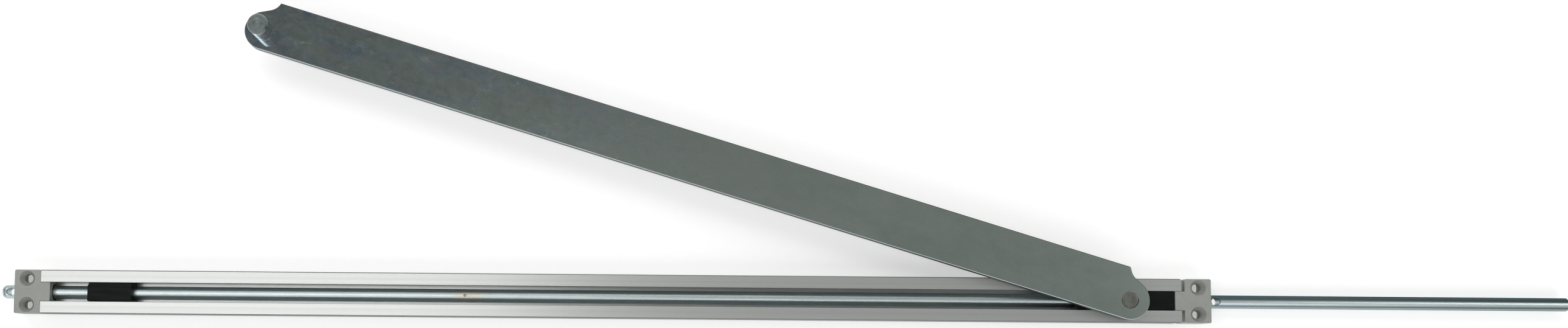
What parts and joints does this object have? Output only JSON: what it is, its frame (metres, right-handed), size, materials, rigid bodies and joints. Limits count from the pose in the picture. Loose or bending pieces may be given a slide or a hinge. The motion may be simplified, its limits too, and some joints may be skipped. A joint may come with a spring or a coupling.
{
  "type": "door closer slide channel and arm",
  "caption": "Slide channel of a concealed overhead door closer, with its slider, flat arm and a long rod that runs through both end caps.",
  "frame": {"origin": "middle of the channel's back face", "axes": "+X along the channel towards the rod's long free end, +Y to the side that the arm lies on, +Z out of the slotted face"},
  "size_m": [0.7171, 0.1432, 0.033],
  "materials": {
    "extrusion": "satin anodised, fine lengthwise extrusion lines",
    "cap_casting": "light grey matt die casting",
    "black_plastic": "matt moulded",
    "rod_steel": "drawn, blue zinc plated",
    "plated_steel": "zinc plated, handled",
    "spring_steel": "oiled spring steel",
    "bearing_bronze": "sintered"
  },
  "bodies": {
    "channel": {"channel": "extrusion", "end_cap_left": "cap_casting", "end_cap_right": "cap_casting", "guide_bush_left": "black_plastic", "guide_bush_right": "black_plastic"},
    "rod": {"rod": "rod_steel", "driver_block": "black_plastic", "driver_pin": "spring_steel"},
    "slider": {"slider_block": "black_plastic", "pivot_insert": "plated_steel", "pivot_bush": "bearing_bronze", "thrust_washer": "plated_steel"},
    "arm": {"arm": "plated_steel", "pivot_stud": "plated_steel", "retaining_ring": "spring_steel", "door_pin": "plated_steel"}
  },
  "joints": [
    {"name": "slider_slide", "type": "slide", "parent": "channel", "child": "slider", "axis": [1, 0, 0], "range_m": [-0.4275, 0]},
    {"name": "rod_slide", "type": "slide", "parent": "channel", "child": "rod", "axis": [1, 0, 0], "range_m": [-0.0164, 0.003]},
    {"name": "arm_pivot", "type": "hinge", "parent": "slider", "child": "arm", "pos_m": [0.2348, 0, 0.013], "axis": [0, 0, 1], "continuous": true}
  ]
}
